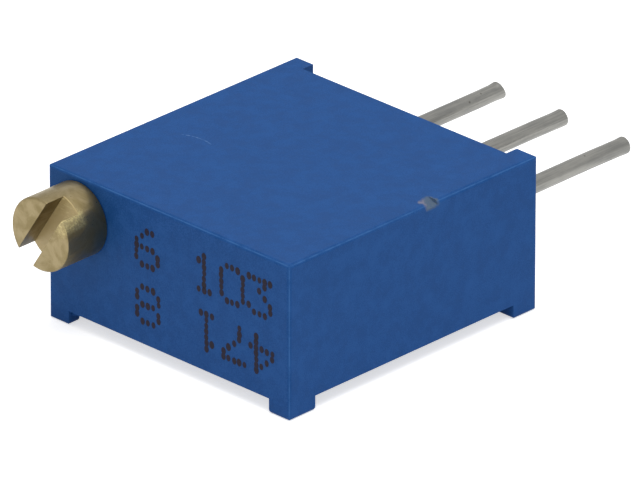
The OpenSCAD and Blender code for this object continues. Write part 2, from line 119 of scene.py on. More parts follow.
class Tree:
    """A node tree under construction, with short calls that add nodes and join them."""

    def __init__(self, tree: bpy.types.NodeTree) -> None:
        """Takes the tree to build in."""
        self.tree = tree

    def feed(self, socket: Socket, value: object) -> None:
        """Links an output to a socket, or sets the socket's own value.

        Args:
            socket: Input of a node.
            value: An output, or a plain value or colour.
        """
        if isinstance(value, Flow):
            value = value.socket
        if isinstance(value, Socket):
            self.tree.links.new(value, socket)
        elif socket.type == "RGBA":
            socket.default_value = (*value, 1.0)
        else:
            socket.default_value = value

    def add(self, kind: str, inputs: Inputs | None = None,
            **settings: object) -> bpy.types.Node:
        """Adds a node.

        Args:
            kind: Blender's name of the node's type.
            inputs: Values or outputs for the node's inputs.
            settings: Properties to set on the node.

        Returns:
            The new node.
        """
        node = self.tree.nodes.new(kind)
        for key, value in settings.items():
            setattr(node, key, value)
        for key, value in (inputs or {}).items():
            self.feed(node.inputs[key], value)
        return node

    def flow(self, kind: str, inputs: Inputs | None = None, output: str | int = 0,
             **settings: object) -> Flow:
        """Adds a node and gives one of its outputs."""
        return Flow(self, self.add(kind, inputs, **settings).outputs[output])

    def math(self, operation: str, first: Value, second: Value = 0.0) -> Flow:
        """Gives one Math node's result on two values."""
        return self.flow("ShaderNodeMath", {0: first, 1: second}, operation=operation)

    def axes(self, vector: Value) -> tuple[Flow, ...]:
        """Splits a vector into its three axes."""
        return tuple(Flow(self, end) for end in self.add("ShaderNodeSeparateXYZ", {0: vector}).outputs)

    def vector(self, *axes: Value) -> Flow:
        """Joins three values into a vector."""
        return self.flow("ShaderNodeCombineXYZ", dict(enumerate(axes)))

    def fade(self, value: Value, start: Value, end: Value, low: float = 0.0, high: float = 1.0) -> Flow:
        """Maps a value smoothly from low at the start to high at the end, and holds it beyond.

        Args:
            value: Value to map.
            start: Value at which the map starts.
            end: Value at which it ends.
            low: Result at the start.
            high: Result at the end.

        Returns:
            The mapped value.
        """
        if not isinstance(end, Flow) and end < start:
            start, end, low, high = end, start, high, low
        return self.flow("ShaderNodeMapRange", {
            "Value": value, "From Min": start, "From Max": end, "To Min": low, "To Max": high},
            interpolation_type="SMOOTHSTEP")

    def shown(self) -> Flow:
        """Gives 1 for rays that come from the camera, a mirror or glass, and 0 for the rest.

        Returns:
            The output of 1 or 0.
        """
        path = self.add("ShaderNodeLightPath").outputs
        mirrored = self.math("MAXIMUM", path["Is Glossy Ray"], path["Is Transmission Ray"])
        return self.math("MAXIMUM", path["Is Camera Ray"], mirrored)


class Graph(Tree):
    """A material under construction round one Principled shader."""

    def __init__(self, name: str) -> None:
        """Starts a material of a name.

        Args:
            name: Name of the material.
        """
        self.material = bpy.data.materials.new(name)
        self.material.use_nodes = True
        super().__init__(self.material.node_tree)
        self.tree.nodes.clear()
        self.output = self.add("ShaderNodeOutputMaterial")
        self.shader = self.add("ShaderNodeBsdfPrincipled")
        self.feed(self.output.inputs["Surface"], self.shader.outputs["BSDF"])
        self.here = self.flow("ShaderNodeTexCoord", output="Object")

    def surface(self, **inputs: object) -> Material:
        """Sets sockets of the shader, named with underscores for spaces, and gives the material.

        Args:
            inputs: Values or outputs for the sockets.

        Returns:
            The material.
        """
        for key, value in inputs.items():
            self.feed(self.shader.inputs[key.replace("_", " ")], value)
        return self.material

    def moved(self, place: Sequence[float] = (0, 0, 0), turn: Sequence[float] = (0, 0, 0),
              scale: Sequence[float] = (1, 1, 1)) -> Flow:
        """Gives the object's coordinates seen from another place.

        Args:
            place: Point that becomes the pattern's origin.
            turn: Turn of the pattern in radians.
            scale: Stretch of the coordinates along each axis.

        Returns:
            The vector output.
        """
        shift = self.flow("ShaderNodeVectorMath", {0: self.here, 1: tuple(place)}, operation="SUBTRACT")
        return self.flow("ShaderNodeMapping", {
            "Vector": shift, "Rotation": tuple(turn), "Scale": tuple(scale)})

    def grain(self, size: float, detail: float = 3.0, rough: float = 0.55, warp: float = 0.0,
              vector: Flow | None = None) -> Flow:
        """Gives noise with features of about a stated size.

        Args:
            size: Size of a feature in metres, in the coordinates of the vector.
            detail: Number of octaves.
            rough: Weight of the finer octaves.
            warp: Distortion of the pattern.
            vector: Coordinates, or the object's own.

        Returns:
            The noise from 0 to 1.
        """
        return self.flow("ShaderNodeTexNoise", {
            "Vector": vector or self.here, "Scale": 1 / size, "Detail": detail, "Roughness": rough,
            "Distortion": warp}, output="Fac")

    def cells(self, size: float) -> Flow:
        """Gives the distance to the nearest of scattered points, in cells of a size."""
        return self.flow("ShaderNodeTexVoronoi", {"Vector": self.here, "Scale": 1 / size},
                         output="Distance")

    def window(self, value: Value, low: float, high: float, soft: float) -> Flow:
        """Gives 1 between two values and 0 outside, with soft ends."""
        return self.fade(value, low - soft, low) * self.fade(value, high + soft, high)

    def blend(self, share: Value, first: object, second: object) -> Flow:
        """Mixes two colours by a share of the second."""
        return self.flow("ShaderNodeMix", {0: share, 6: first, 7: second}, output=2, data_type="RGBA")

    def bump(self, height: Flow, depth: float, normal: Flow | None = None) -> Flow:
        """Bends the normal as if the surface rose by a height from 0 to 1.

        Args:
            height: Height from 0 to 1.
            depth: Rise in metres at a height of 1.
            normal: Normal from an earlier bump.

        Returns:
            The bent normal.
        """
        earlier = {} if normal is None else {"Normal": normal}
        return self.flow("ShaderNodeBump", {"Height": height, "Distance": depth, **earlier})


class Grain(Enum):
    """How a finish is patterned: size, octaves, weight of the fine ones, warp and stretch."""

    MOULDED = (0.12 * MM, 4, 0.6, 0.0, (1, 1, 1))
    STAMPED = (0.04 * MM, 4, 0.6, 0.0, (0.08, 1, 1))
    FILM = (0.03 * MM, 5, 0.7, 0.4, (1, 1, 1))
    CAST = (0.7 * MM, 3, 0.5, 0.8, (1, 1, 1))
    RUBBER = (0.02 * MM, 2, 0.5, 0.0, (1, 1, 1))
    FIRED = 0.06 * MM


@dataclass(frozen=True)
class Finish:
    """A finish with two tones in a pattern, used on the resin and the pieces inside."""

    name: str
    colour: Colour
    tone: Colour
    grain: Grain
    roughness: float = 0.5
    metallic: float = 0.0
    specular: float = 0.5
    relief: float = 0.002 * MM

    def pattern(self, graph: Graph) -> Flow:
        """Gives the pattern from 0 to 1 that the tones and the relief follow.

        Args:
            graph: The material under construction.

        Returns:
            The pattern.
        """
        if self.grain is Grain.FIRED:
            return graph.fade(graph.cells(self.grain.value), 0.1, 0.75)
        *noise_shape, stretch = self.grain.value
        return graph.grain(*noise_shape, graph.moved(scale=stretch))

    def material(self) -> Material:
        """Builds the finish as a material.

        Returns:
            The material.
        """
        graph = Graph(self.name)
        pattern = self.pattern(graph)
        return graph.surface(
            Base_Color=graph.blend(graph.fade(pattern, 0.3, 0.7), self.colour, self.tone),
            Roughness=graph.fade(pattern, 0.2, 0.8, self.roughness - 0.06, self.roughness + 0.06),
            Normal=graph.bump(pattern, self.relief),
            Metallic=self.metallic,
            Specular_IOR_Level=self.specular)


@dataclass(frozen=True)
class HousingPlastic:
    """Blue moulded plastic with a fine mottle, a scuffed chip, a faint scratch and painted highlights along
    its outer edges.
    """

    name: str = "housing_blue_moulding"
    colour: Colour = seen(14, 69, 130)
    tone: Colour = seen(33, 82, 145)
    scuff: Colour = seen(134, 130, 150)
    torn: Colour = seen(96, 110, 118)
    scratch: Colour = seen(96, 130, 176)
    # Painted highlight: a lighter blue laid along the outer edges, where the eased edges catch the light.
    painted_edge_highlight: Colour = seen(68, 116, 176)
    edge_highlight_reach: float = 0.03 * MM
    mottle_size: float = 0.45 * MM
    speck_size: float = 0.035 * MM
    speck_depth: float = 0.004 * MM
    wave_size: float = 0.8 * MM
    wave_depth: float = 0.012 * MM
    scratch_place: tuple[float, float] = (-2.75 * MM, -7.17 * MM)
    scratch_radius: float = 1.3 * MM
    scratch_width: float = 0.02 * MM
    scratch_strength: float = 0.65
    scratch_from: float = -0.55 * MM
    scratch_to: float = 0.3 * MM

    def scratch_mask(self, graph: Graph, top: Flow) -> Flow:
        """Gives 1 along a faint curved scratch on the plain face.

        Args:
            graph: The housing's material under construction.
            top: 1 on the plain face and 0 elsewhere.

        Returns:
            The mask from 0 to 1.
        """
        x, y, _ = graph.axes(graph.moved((*self.scratch_place, 0)))
        reach = graph.flow("ShaderNodeVectorMath", {0: graph.vector(x, y, 0.0)}, output="Value",
                           operation="LENGTH")
        half = self.scratch_width / 2
        line = graph.window(reach, self.scratch_radius - half, self.scratch_radius + half,
                            self.scratch_width)
        arc = graph.window(x, self.scratch_from, self.scratch_to, 0.15 * MM)
        near = graph.fade(y, 0, 0.4 * MM)
        broken = graph.fade(graph.grain(0.12 * MM, 2), 0.35, 0.6)
        return line * arc * (near * broken) * top

    def painted_edge_highlight_mask(self, graph: Graph) -> Flow:
        """Gives the share of painted highlight, a lighter blue, along the block's outer edges.

        Args:
            graph: The housing's material under construction.

        Returns:
            The share from 0 to 0.7.
        """
        low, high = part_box("housing")
        x, y, z = graph.axes(graph.here)
        by_x, by_y, by_z = (
            graph.fade(value, far - 2 * self.edge_highlight_reach, far - self.edge_highlight_reach)
            for value, far in ((abs(x), high.x), (y * -1.0, -low.y), (z, high.z)))
        edge = graph.math("MAXIMUM", graph.math("MAXIMUM", by_x * by_y, by_y * by_z), by_x * by_z)
        return edge * graph.fade(graph.grain(0.35 * MM, 4, 0.65), 0.34, 0.6, 0.2, 0.7)

    def material(self, chip: "Chip") -> Material:
        """Builds the finish.

        Args:
            chip: The chip in the long right edge, whose torn faces are paler.

        Returns:
            The material.
        """
        graph = Graph(self.name)
        mottle = graph.grain(self.mottle_size, 5, 0.6)
        specks = graph.grain(self.speck_size, 2, 0.5)
        waves = graph.grain(self.wave_size, 2, 0.45, 0.6)
        _, _, z = graph.axes(graph.here)
        top = graph.fade(z, chip.top - 0.05 * MM, chip.top - 0.01 * MM)
        tones = mottle * 0.55 + specks * 0.45
        blue = graph.blend(graph.fade(tones, 0.38, 0.64), self.colour, self.tone)
        blue = graph.blend(self.scratch_mask(graph, top) * self.scratch_strength, blue, self.scratch)
        # Paints a highlight in lighter blue along the block's outer edges.
        blue = graph.blend(self.painted_edge_highlight_mask(graph), blue, self.painted_edge_highlight)
        torn, pale = chip.masks(graph)
        rough = graph.blend(graph.fade(specks, 0.3, 0.7, 0, 0.35), self.torn, self.colour)
        blue = graph.blend(torn, blue, rough)
        swell = waves * graph.fade(top, 0, 1, 0.25, 1.0)
        return graph.surface(
            Base_Color=graph.blend(pale, blue, self.scuff),
            Roughness=graph.fade(mottle, 0.3, 0.7, 0.58, 0.68),
            Specular_IOR_Level=0.16,
            Normal=graph.bump(swell, self.wave_depth, graph.bump(specks, self.speck_depth)))


@dataclass(frozen=True)
class TurnedBrass:
    """Dull turned brass, more golden in the sawn slot, whose walls are painted lighter to stand in for light,
    with painted glints in the slot and a painted highlight on the barrel beside it.
    """

    name: str = "screw_turned_brass"
    dull: Colour = seen(148, 134, 101)
    stain: Colour = seen(130, 116, 81)
    # Slot walls: sawn brass painted lighter than the floor, to stand in for light that the shaded walls don't
    # get.
    painted_lit_sawn_wall: Colour = seen(246, 206, 130)
    sawn_floor: Colour = seen(174, 154, 106)
    # Painted highlight: a pale brass for the highlight on the barrel beside the slot and for glints in the
    # slot.
    painted_highlight: Colour = seen(200, 186, 134)
    ring_pitch: float = 0.045 * MM
    saw_pitch: float = 0.05 * MM
    saw_stretch: float = 0.18
    # Width of the painted highlight on the barrel beside the slot's end.
    barrel_highlight_width: float = 0.26 * MM
    relief: float = 0.004 * MM

    def material(self, screw: "AdjustmentScrew") -> Material:
        """Builds the finish.

        Args:
            screw: The screw that wears it, for its axis and its slot.

        Returns:
            The material.
        """
        graph = Graph(self.name)
        turn = (0, screw.slot_turn, 0)
        along, depth, over = graph.axes(graph.moved(screw.place, turn))
        half = screw.slot_width / 2
        face_y = -screw.head_length
        floor_y = screw.slot_depth - screw.head_length
        in_head = graph.window(depth, face_y + 0.03 * MM, floor_y + 0.03 * MM, 0.02 * MM)
        in_slot = graph.window(abs(over), -1, half - 0.012 * MM, 0.01 * MM) * in_head
        on_floor = graph.fade(depth, floor_y - 0.05 * MM, floor_y - 0.02 * MM)
        rings = graph.flow("ShaderNodeTexWave", {
            "Vector": graph.moved(screw.place), "Scale": 1 / (self.ring_pitch * 20), "Distortion": 1.2,
            "Detail": 2.0}, output="Fac", wave_type="RINGS", rings_direction="Y")
        blotch = graph.grain(0.55 * MM, 5, 0.62, 0.5)
        fine = graph.grain(0.035 * MM, 4, 0.6, vector=graph.moved(scale=(1, 0.35, 1)))
        saw = graph.grain(self.saw_pitch, 4, 0.65,
                          vector=graph.moved(screw.place, turn, (self.saw_stretch, 1, 1)))
        # Painted glints on the sawn faces in the slot, in the pale highlight colour.
        painted_glint = graph.fade(saw, 0.56, 0.68) * graph.fade(along, 0.1 * MM, 0.8 * MM)
        # The slot's walls take the painted-lighter sawn colour and its floor the plainer sawn colour.
        slot_colour = graph.blend(on_floor, self.painted_lit_sawn_wall, self.sawn_floor)
        slot_colour = graph.blend(painted_glint, slot_colour, self.painted_highlight)
        # The burr mask: a painted highlight on the barrel beside the slot's end, broken up by noise.
        beside = graph.window(over, -half - self.barrel_highlight_width, 0.05 * MM - half, 0.16 * MM)
        near_cut = graph.window(depth, face_y + 0.1 * MM, floor_y + 0.05 * MM, 0.25 * MM)
        burr = beside * near_cut * graph.fade(along, 0.45 * MM, 0.9 * MM)
        torn = graph.fade(graph.grain(0.07 * MM, 4, 0.7), 0.38, 0.66, 0.2, 1.0)
        base = graph.blend(graph.fade(blotch, 0.36, 0.66), self.dull, self.stain)
        # Paints the highlight on the barrel beside the slot.
        base = graph.blend(burr * torn, base, self.painted_highlight)
        return graph.surface(
            Base_Color=graph.blend(in_slot, base, slot_colour),
            Metallic=graph.fade(in_slot, 0, 1, 1.0, 0.25),
            Roughness=graph.fade(blotch, 0.3, 0.7, 0.36, 0.48) - painted_glint * 0.12,
            Normal=graph.bump(graph.blend(in_slot, rings * 0.25 + fine, saw * 2.2), self.relief))


@dataclass(frozen=True)
class TinnedWire:
    """Tinned copper wire, streaked along its length, with a few dark specks."""

    name: str = "pin_tinned_wire"
    colour: Colour = seen(144, 143, 138)
    streak: Colour = seen(122, 122, 119)
    speck: Colour = seen(84, 82, 76)
    relief: float = 0.004 * MM

    def material(self) -> Material:
        """Builds the finish.

        Returns:
            The material.
        """
        graph = Graph(self.name)
        drawn = graph.grain(0.05 * MM, 4, 0.62, vector=graph.moved(scale=(1, 0.03, 1)))
        cloud = graph.grain(0.5 * MM, 3, 0.55, vector=graph.moved(scale=(1, 0.5, 1)))
        specks = graph.fade(graph.cells(0.42 * MM), 0.1, 0.05)
        tones = drawn * 0.6 + cloud * 0.4
        base = graph.blend(graph.fade(tones, 0.36, 0.64), self.colour, self.streak)
        return graph.surface(
            Base_Color=graph.blend(specks * 0.75, base, self.speck),
            Metallic=1.0,
            Roughness=graph.fade(tones, 0.35, 0.65, 0.3, 0.42),
            Normal=graph.bump(drawn + cloud * 0.5, self.relief))


@dataclass(frozen=True)
class PrintInk:
    """Near-black ink, thinner in places in a fine random pattern."""

    name: str = "print_black_ink"
    ink: Colour = seen(26, 18, 28)
    thin: Colour = seen(34, 30, 54)

    def material(self) -> Material:
        """Builds the finish.

        Returns:
            The material.
        """
        graph = Graph(self.name)
        blot = graph.grain(0.06 * MM, 3, 0.6)
        return graph.surface(
            Base_Color=graph.blend(graph.fade(blot, 0.42, 0.66), self.ink, self.thin),
            Roughness=graph.fade(blot, 0.3, 0.7, 0.5, 0.64),
            Specular_IOR_Level=0.15,
            Normal=graph.bump(blot, 0.003 * MM))


class Recipe(Tree):
    """A Geometry Nodes tree with named inputs for its sizes."""

    def __init__(self, name: str) -> None:
        """Starts a tree of a name with geometry in and out.

        Args:
            name: Name of the tree.
        """
        super().__init__(bpy.data.node_groups.new(name, "GeometryNodeTree"))
        self.tree.is_modifier = True
        for way in ("INPUT", "OUTPUT"):
            self.tree.interface.new_socket("Geometry", in_out=way, socket_type="NodeSocketGeometry")
        self.source = self.add("NodeGroupInput")
        self.result = self.add("NodeGroupOutput")
        self.keys: dict[str, str] = {}

    def sizes(self, *names: str, kind: str = "Float") -> list[Flow]:
        """Adds named inputs of a kind and gives their outputs in the tree.

        Args:
            names: Names of the inputs.
            kind: Their type, such as Float or Int.

        Returns:
            An output for each name.
        """
        for name in names:
            entry = self.tree.interface.new_socket(name, in_out="INPUT", socket_type=f"NodeSocket{kind}")
            self.keys[name] = entry.identifier
        return [Flow(self, self.source.outputs[name]) for name in names]

    def mix(self, share: Value, first: Value, second: Value) -> Flow:
        """Mixes two numbers by a share of the second."""
        return self.flow("ShaderNodeMix", {0: share, 2: first, 3: second})

    def sweep(self, end: Sequence[float], steps: Flow, profile: Flow) -> tuple[Flow, tuple[Flow, ...]]:
        """Draws a profile along a straight line from the origin.

        Args:
            end: End of the line.
            steps: Number of points on the line.
            profile: Curve of the cross-section.

        Returns:
            The closed mesh, and the three axes of its own points.
        """
        line = self.flow("GeometryNodeCurvePrimitiveLine", {"End": end})
        fine = self.flow("GeometryNodeResampleCurve", {"Curve": line, "Count": steps})
        tube = self.flow("GeometryNodeCurveToMesh", {
            "Curve": fine, "Profile Curve": profile, "Fill Caps": True})
        return tube, self.axes(self.flow("GeometryNodeInputPosition"))

    def close(self, geometry: Flow, finish: Material) -> None:
        """Ends the tree in Realize Instances and Set Material.

        Args:
            geometry: Geometry that the tree gives.
            finish: Material for it.
        """
        real = self.flow("GeometryNodeRealizeInstances", {0: geometry})
        dressed = self.flow("GeometryNodeSetMaterial", {0: real, "Material": finish})
        self.feed(self.result.inputs[0], dressed)


class Maker:
    """Short calls that make, bake, smooth and hand over meshes."""

    @staticmethod
    def piece(name: str, data: bpy.types.ID) -> Piece:
        """Makes an object at the origin for a mesh, a lamp or a camera.

        Args:
            name: Name of the object.
            data: Its mesh, lamp or camera.

        Returns:
            The object.
        """
        made = bpy.data.objects.new(name, data)
        bpy.context.scene.collection.objects.link(made)
        return made

    @staticmethod
    @contextmanager
    def edited(mesh: Mesh) -> Iterator[bmesh.types.BMesh]:
        """Opens a mesh for edits, and writes them back at the end.

        Args:
            mesh: Mesh to edit.

        Returns:
            A context that gives the mesh in a form for edits.
        """
        work = bmesh.new()
        work.from_mesh(mesh)
        yield work
        work.to_mesh(mesh)
        work.free()

    @staticmethod
    def mesh(name: str, points: Iterable[Sequence[float]], faces: Iterable[Sequence[int]]) -> Mesh:
        """Makes a closed mesh from points and faces, with its faces outwards.

        Args:
            name: Name of the mesh.
            points: Its points.
            faces: Its faces as numbers of points.

        Returns:
            The mesh.
        """
        made = bpy.data.meshes.new(name)
        made.from_pydata([tuple(p) for p in points], [], [tuple(f) for f in faces])
        with Maker.edited(made) as work:
            bmesh.ops.recalc_face_normals(work, faces=work.faces)
        return made

    @staticmethod
    def grid(rows: int, columns: int, ring: bool = False, loop: bool = False) -> Faces:
        """Gives the faces of a grid of points.

        Args:
            rows: Number of rows.
            columns: Number of points in a row.
            ring: Whether the last row joins the first.
            loop: Whether each row closes on itself.

        Returns:
            The faces as numbers of points.
        """
        return [(i * columns + k, i * columns + (k + 1) % columns,
                 (i + 1) % rows * columns + (k + 1) % columns, (i + 1) % rows * columns + k)
                for i in range(rows if ring else rows - 1) for k in range(columns if loop else columns - 1)]

    @staticmethod
    def bake(piece: Piece) -> None:
        """Turns a piece with live modifiers into a plain mesh.

        Args:
            piece: Piece to bake.
        """
        graph = bpy.context.evaluated_depsgraph_get()
        result = bpy.data.meshes.new_from_object(piece.evaluated_get(graph), depsgraph=graph)
        piece.modifiers.clear()
        piece.data = result

    @staticmethod
    def grown(name: str, recipe: Recipe, sizes: dict[str, object], seed: Mesh | None = None) -> Piece:
        """Makes a piece with a Geometry Nodes tree and bakes it.

        Args:
            name: Name of the piece.
            recipe: The tree.
            sizes: A value for each named input.
            seed: Mesh that the tree starts from, or none.

        Returns:
            The baked piece.
        """
        piece = Maker.piece(name, seed or bpy.data.meshes.new(name))
        modifier = piece.modifiers.new(recipe.tree.name, "NODES")
        modifier.node_group = recipe.tree
        for size, value in sizes.items():
            modifier[recipe.keys[size]] = value
        Maker.bake(piece)
        return piece

    @staticmethod
    def modified(piece: Piece, kind: str, **settings: object) -> None:
        """Adds a modifier of a kind with its settings to a piece and bakes it.

        Args:
            piece: Piece to change.
            kind: Blender's name of the modifier's type.
            settings: Properties to set on the modifier.
        """
        modifier = piece.modifiers.new(kind, kind)
        for key, value in settings.items():
            setattr(modifier, key, value)
        Maker.bake(piece)

    @staticmethod
    def ease(piece: Piece, width: float, corner: float) -> None:
        """Rounds the edges of a piece that bend by more than an angle."""
        Maker.modified(piece, "BEVEL", width=width, segments=3, limit_method="ANGLE", angle_limit=corner)

    @staticmethod
    def smooth(mesh: Mesh, crease: float = 32 * DEG) -> None:
        """Shades a mesh smooth, with sharp edges where it bends by more than an angle."""
        mesh.polygons.foreach_set("use_smooth", [True] * len(mesh.polygons))
        mesh.set_sharp_from_angle(angle=crease)

    @staticmethod
    def level(piece: Piece) -> None:
        """Keeps flat faces flat in the shading beside their eased edges."""
        Maker.smooth(piece.data)
        Maker.modified(piece, "WEIGHTED_NORMAL", weight=100, keep_sharp=True)

    @staticmethod
    def dress(mesh: Mesh, finish: Material) -> None:
        """Gives a whole mesh one material."""
        mesh.materials.clear()
        mesh.materials.append(finish)

    @staticmethod
    def hand_over(piece: Piece, body: str, slot: str, *nodes: str) -> None:
        """Tells the frame which body a piece rides on and the nodes that it replaces.

        Args:
            piece: Finished piece.
            body: Body that it rides on.
            slot: Slot of its material; not used.
            nodes: Nodes that it replaces.
        """
        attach(piece, body)
        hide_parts(*nodes)
        LOG.info("%s: %d faces on %s", piece.name, len(piece.data.polygons), body)


@dataclass(frozen=True)
class Chip:
    """The chip in the long right edge of the housing, torn out of the plain face."""

    top: float
    place: tuple[float, float] = (4.61 * MM, -4.3 * MM)
    half_width: float = 0.13 * MM
    half_length: float = 0.19 * MM
    lean: float = -12 * DEG
    ragged: float = 0.14 * MM
    soft: float = 0.13 * MM
    strength: float = 0.85

    def masks(self, graph: Graph) -> tuple[Flow, Flow]:
        """Gives the share of torn plastic and the pale border on its near end.

        Args:
            graph: The housing's material under construction.

        Returns:
            The masks of the torn plastic and of the border.
        """
        x, y, z = graph.axes(graph.moved((*self.place, self.top), (0, 0, self.lean)))
        stray = (graph.grain(0.12 * MM, 3) - 0.5) * self.ragged
        x = x + stray
        y = y + stray
        across = graph.window(x, -self.half_width, self.half_width, self.soft)
        along = graph.window(y, -self.half_length, self.half_length, self.soft)
        torn = across * along * graph.fade(z, -0.24 * MM, -0.14 * MM) * self.strength
        return torn, torn * graph.fade(x + y, -0.06 * MM, -0.22 * MM, 0, 0.8)


@dataclass
class Housing:
    """The blue moulding, with its edges eased."""

    ease: float = 0.045 * MM
    corner: float = 28 * DEG
    seam: float = 0.0005 * MM

    def build(self) -> None:
        """Dresses the housing's own solid."""
        finish = HousingPlastic().material(Chip(top=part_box("housing")[1].z))
        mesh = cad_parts["housing"].data.copy()
        with Maker.edited(mesh) as work:
            bmesh.ops.remove_doubles(work, verts=work.verts, dist=self.seam)
            bmesh.ops.dissolve_limit(work, angle_limit=FLAT, verts=work.verts, edges=work.edges)
        piece = Maker.piece("housing_moulding", mesh)
        Maker.ease(piece, self.ease, self.corner)
        Maker.level(piece)
        Maker.dress(piece.data, finish)
        Maker.hand_over(piece, "case", "blue_plastic", "housing")


@dataclass
class AdjustmentScrew:
    """The turned brass screw, from its slotted head to its tail journal."""

    head_radius: float = 1.115 * MM
    head_length: float = 1.6 * MM
    land_radius: float = 0.95 * MM
    rim_round: float = 0.07 * MM
    slot_width: float = 0.68 * MM
    slot_depth: float = 0.66 * MM
    slot_turn: float = 57 * DEG
    slot_ease: float = 0.03 * MM
    float_gap: float = 0.03 * MM
    corner: float = 40 * DEG
    sides: int = 128
    seal_root: float = 0.5625 * MM
    seal_from: float = 0.6 * MM
    seal_to: float = 1.1 * MM
    ring_root: float = 0.6 * MM
    ring_width: float = 0.31 * MM
    tail_radius: float = 0.45 * MM
    worm_radius: float = 0.75 * MM
    thread_up: float = 0.16 * MM
    thread_down: float = 0.2 * MM
    thread_fade: float = 0.035
    thread_steps: int = 48
    sunk: float = 0.04 * MM
    flank: float = 20 * DEG
    gear_radius: float = 3.2 * MM
    teeth: int = 33
    backlash: float = 0.08 * MM
    boss_length: float = 1.68 * MM
    worm_start: float = 2.15 * MM
    worm_end: float = 8.04 * MM
    tail_end: float = 0.0
    gear_y: float = -5.27 * MM
    place: Vector = field(default_factory=Vector)

    def __post_init__(self) -> None:
        """Reads the screw's axis and tail and the housing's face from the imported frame."""
        low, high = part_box("adjustment_screw")
        self.place = Vector(((low.x + high.x) / 2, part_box("housing")[0].y, (low.z + high.z) / 2))
        self.tail_end = high.y - self.place.y

    @property
    def lead(self) -> float:
        """Advance of the thread in one turn."""
        return 2 * pi * self.gear_radius / self.teeth

    def outline(self) -> list[tuple[float, float]]:
        """Gives the turned outline as radius and length from the screw face.

        Returns:
            The points from the head's face to the tail.
        """
        root = self.worm_radius - self.thread_down
        turns = [i / 5 * pi / 2 for i in range(6)]
        rim = [(self.head_radius - self.rim_round * (1 - sin(a)),
                -self.head_length + self.rim_round * (1 - cos(a))) for a in turns]
        ring_end = self.boss_length + self.ring_width
        return rim + [
            (self.head_radius, -self.float_gap), (self.land_radius, -self.float_gap),
            (self.land_radius, self.seal_from), (self.seal_root, self.seal_from),
            (self.seal_root, self.seal_to), (self.land_radius, self.seal_to),
            (self.land_radius, self.boss_length), (self.ring_root, self.boss_length),
            (self.ring_root, ring_end), (self.land_radius, ring_end),
            (self.land_radius, self.worm_start), (root, self.worm_start), (root, self.worm_end),
            (self.tail_radius, self.worm_end), (self.tail_radius, self.tail_end)]

    def turned(self) -> Mesh:
        """Turns the outline round the axis, with flat ends.

        Returns:
            The mesh.
        """
        outline = self.outline()
        points = [self.place + Vector((r * cos(a), s, r * sin(a)))
                  for r, s in outline
                  for a in (2 * pi * k / self.sides for k in range(self.sides))]
        faces = Maker.grid(len(outline), self.sides, loop=True)
        last = (len(outline) - 1) * self.sides
        faces += [tuple(range(self.sides)), tuple(range(last, last + self.sides))]
        return Maker.mesh("screw_turned", points, faces)

    def slot_cutter(self) -> Piece:
        """Makes the block that saws the slot.

        Returns:
            The block.
        """
        mesh = bpy.data.meshes.new("slot_cutter")
        with Maker.edited(mesh) as work:
            bmesh.ops.create_cube(work, size=1)
            block = (4 * self.head_radius, 2 * self.slot_depth, self.slot_width)
            bmesh.ops.scale(work, vec=block, verts=work.verts)
            bmesh.ops.transform(work, matrix=Matrix.Rotation(-self.slot_turn, 4, "Y"), verts=work.verts)
            front = self.place - Vector((0, self.head_length, 0))
            bmesh.ops.translate(work, vec=front, verts=work.verts)
        return Maker.piece("slot_cutter", mesh)

    def thread_recipe(self, finish: Material) -> Recipe:
        """Builds the tree that winds the worm's thread round the core.

        Args:
            finish: Material of the screw.

        Returns:
            The tree.
        """
        recipe = Recipe("worm_thread")
        start, end, lead, phase, root, crest, half_root, half_crest = recipe.sizes(
            "Start", "End", "Lead", "Phase", "Root radius", "Crest radius", "Half width at root",
            "Half width at crest")
        (steps,) = recipe.sizes("Steps", kind="Int")
        (spot,) = recipe.sizes("Place", kind="Vector")
        square = recipe.flow("GeometryNodeCurvePrimitiveQuadrilateral", {"Width": 2.0, "Height": 2.0})
        tube, (x, y, share) = recipe.sweep((0, 0, 1), steps, square)
        outer = recipe.math("GREATER_THAN", x)
        grown = recipe.fade(recipe.math("MINIMUM", share, 1.0 - share), 0.0, self.thread_fade)
        radius = recipe.mix(outer, root, root + (crest - root) * grown)
        half = recipe.mix(outer, half_root, half_crest)
        along = start + (end - start) * share
        turn = (along - phase) / lead * (2 * pi)
        place = recipe.vector(radius * recipe.math("COSINE", turn),
                              along + recipe.math("SIGN", y) * half,
                              radius * recipe.math("SINE", turn))
        wound = recipe.flow("GeometryNodeSetPosition", {"Geometry": tube, "Position": place})
        moved = recipe.flow("GeometryNodeTransform", {"Geometry": wound, "Translation": spot})
        recipe.close(moved, finish)
        return recipe

    def thread(self, finish: Material) -> Mesh:
        """Winds the thread and gives its plain mesh.

        Args:
            finish: Material of the screw.

        Returns:
            The mesh.
        """
        half_pitch = (self.lead - 2 * self.backlash) / 4
        slope = tan(self.flank)
        half_root = half_pitch + (self.thread_down + self.sunk) * slope
        turns = (self.worm_end - self.worm_start - 2 * half_root) / self.lead
        piece = Maker.grown("thread_seed", self.thread_recipe(finish), {
            "Start": self.worm_start + half_root, "End": self.worm_end - half_root, "Lead": self.lead,
            "Root radius": self.worm_radius - self.thread_down - self.sunk,
            "Crest radius": self.worm_radius + self.thread_up,
            "Half width at root": half_root, "Half width at crest": half_pitch - self.thread_up * slope,
            "Phase": self.gear_y - self.place.y + self.lead / 2,
            "Steps": round(turns * self.thread_steps), "Place": self.place})
        mesh = piece.data
        bpy.data.objects.remove(piece)
        return mesh

